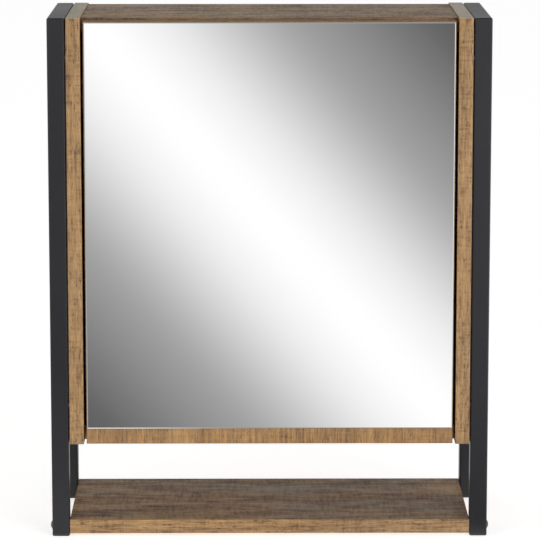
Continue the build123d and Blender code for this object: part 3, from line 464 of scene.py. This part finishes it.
# Floor
WHITE = (1.0, 1.0, 1.0)
FLOOR_RADIUS = 16.0
FLOOR_BASE = (0.86, 0.86, 0.86)
FLOOR_LIGHT = 0.66
bpy.ops.object.select_all(action="DESELECT")
bpy.ops.mesh.primitive_circle_add(vertices=96, radius=FLOOR_RADIUS, fill_type="NGON", location=(0.0, 0.0, 0.0))
floor = bpy.context.object
floor.name = "floor"
floor.data.materials.append(
    glowing("pale_floor", FLOOR_BASE, WHITE, FLOOR_LIGHT, Roughness=0.9, Specular_IOR_Level=0.1)
)


def reflector(name, middle, width, depth):
    """A card that lies on the floor and shows only in glossy surfaces."""
    bpy.ops.object.select_all(action="DESELECT")
    bpy.ops.mesh.primitive_plane_add(size=1.0, location=middle)
    made = bpy.context.object
    made.name = name
    made.scale = (width, depth, 1.0)
    bpy.ops.object.transform_apply(location=True, rotation=True, scale=True)
    made.visible_camera = False
    made.visible_diffuse = False
    made.visible_shadow = False
    return made


# The reflection card lies in front of the cabinet. Each of its points is taken to the place on the mirror where
# the camera sees it: across and down are 0 to 1 over the mirror. The light falls with the distance between the
# two, so that the mirror shows a bright diagonal. Both sides of the card are grey and its far end is pale.
CARD_MIDDLE = (0.0, -6.8, 0.004)
CARD_WIDTH = 6.4
CARD_DEPTH = 13.36
CARD_STRENGTH = 1.08
FALL_OFF = (
    (0.0, 1.0), (0.12, 0.96), (0.3, 0.73), (0.5, 0.375), (0.68, 0.285), (0.88, 0.145), (1.0, 0.112), (1.12, 0.115),
    (1.35, 0.40), (1.6, 0.62),
)
FALL_OFF_END = 1.6
NEAR_END = (0.25, 0.56)
NEAR_FADE = (-0.22, 0.0)
NEAR_APART = (0.05, 0.64)
SIDE_BORDER = (0.55, 1.1)
SIDE_CHANGE = (-0.3, 0.3)
SIDE_LIGHT = (0.42, 0.74)
FAR_BORDER = (6.6, 12.6)
FAR_COLOUR = (0.88, 0.88, 0.88, 1.0)
card = reflector("reflection_card", CARD_MIDDLE, CARD_WIDTH, CARD_DEPTH)
card_light = bpy.data.materials.new("card_light")
card_light.use_nodes = True
tree = card_light.node_tree
tree.nodes.remove(tree.nodes["Principled BSDF"])
card.data.materials.append(card_light)
point = put(tree, "ShaderNodeSeparateXYZ", {0: tree.nodes.new("ShaderNodeTexCoord").outputs["Object"]}).outputs
camera_reach = mirror_low[Y] - CAMERA_PLACE.y
ahead = maths(tree, "SUBTRACT", mirror_low[Y], point["Y"])
whole_path = maths(tree, "ADD", ahead, camera_reach)
across = maths(tree, "MULTIPLY", point["X"], camera_reach)
across = maths(tree, "MULTIPLY_ADD", ahead, CAMERA_PLACE.x, across)
across = maths(tree, "DIVIDE", across, whole_path)
across = maths(tree, "MULTIPLY_ADD", across, 1 / (mirror_high[X] - mirror_low[X]), 0.5)
height = maths(tree, "DIVIDE", maths(tree, "MULTIPLY", ahead, CAMERA_PLACE.z), whole_path)
down = maths(tree, "DIVIDE", maths(tree, "SUBTRACT", mirror_high[Z], height), mirror_high[Z] - mirror_low[Z])
apart = maths(tree, "ABSOLUTE", maths(tree, "SUBTRACT", across, down))

# The bevel at the mirror's foot shows the card's nearest part, which is bright at the left
near_share = between(tree, ahead, *NEAR_END, 1.0, 0.0)
near_apart = between(tree, point["X"], *NEAR_FADE, *NEAR_APART)
apart = maths(tree, "MULTIPLY_ADD", near_share, maths(tree, "SUBTRACT", near_apart, apart), apart)
ramp = put(tree, "ShaderNodeValToRGB", {"Fac": maths(tree, "DIVIDE", apart, FALL_OFF_END)})
curve = ramp.color_ramp
curve.interpolation = "B_SPLINE"
while len(curve.elements) < len(FALL_OFF):
    curve.elements.new(0.5)
for stop, (distance, bright) in zip(curve.elements, FALL_OFF):
    stop.position = distance / FALL_OFF_END
    stop.color = (bright, bright, bright, 1.0)
off_side = maths(tree, "ABSOLUTE", maths(tree, "SUBTRACT", across, 0.5))
side_light = between(tree, point["X"], *SIDE_CHANGE, *SIDE_LIGHT)
side_colour = put(tree, "ShaderNodeCombineColor", {0: side_light, 1: side_light, 2: side_light}).outputs[0]
shown = blend_colour(tree, between(tree, off_side, *SIDE_BORDER), ramp.outputs["Color"], side_colour)
shown = blend_colour(tree, between(tree, ahead, *FAR_BORDER), shown, FAR_COLOUR)
glow = put(tree, "ShaderNodeEmission", {"Color": shown, "Strength": CARD_STRENGTH})
tree.links.new(glow.outputs[0], tree.nodes["Material Output"].inputs["Surface"])

# A bright card at the right draws a thin light line along the rounded edges that look that way
RIM_MIDDLE = (1.9, -0.375, 0.008)
RIM_WIDTH = 2.2
RIM_DEPTH = 0.95
RIM_COLOUR = (0.92, 0.97, 1.0)
RIM_STRENGTH = 4.5
rim_card = reflector("rim_card", RIM_MIDDLE, RIM_WIDTH, RIM_DEPTH)
rim_card.data.materials.append(glowing("rim_light", (0.0, 0.0, 0.0), RIM_COLOUR, RIM_STRENGTH))

# Surround: white behind the cabinet, and for the light that falls on it white near the horizon, darker overhead
HORIZON_LIGHT = 1.0
CEILING_LIGHT = 0.34
CEILING_RISE = 0.36
world = bpy.data.worlds.new("studio")
bpy.context.scene.world = world
world.use_nodes = True
sky = world.node_tree
direction = put(sky, "ShaderNodeSeparateXYZ", {0: sky.nodes.new("ShaderNodeTexCoord").outputs["Generated"]})
sky_light = between(sky, direction.outputs["Z"], 0.0, CEILING_RISE, HORIZON_LIGHT, CEILING_LIGHT)
seen = sky.nodes.new("ShaderNodeLightPath").outputs["Is Camera Ray"]
sky.links.new(maths(sky, "MAXIMUM", sky_light, seen), sky.nodes["Background"].inputs["Strength"])
sky.nodes["Background"].inputs["Color"].default_value = (*WHITE, 1.0)

# Two large soft lamps in front
MIDDLE = Vector((0.0, 0.0, 0.3))
LAMP_SIZE = 2.2


def softbox(name, place, power):
    """A large square area light that faces the middle of the cabinet."""
    lamp = bpy.data.lights.new(name, "AREA")
    lamp.shape = "SQUARE"
    lamp.size = LAMP_SIZE
    lamp.energy = power
    holder = bpy.data.objects.new(name, lamp)
    holder.location = place
    holder.rotation_euler = (MIDDLE - Vector(place)).to_track_quat("-Z", "Y").to_euler()
    bpy.context.collection.objects.link(holder)


softbox("key_light", place=(2.0, -3.6, 1.6), power=46.0)
softbox("fill_light", place=(-3.0, -2.9, 1.2), power=25.0)
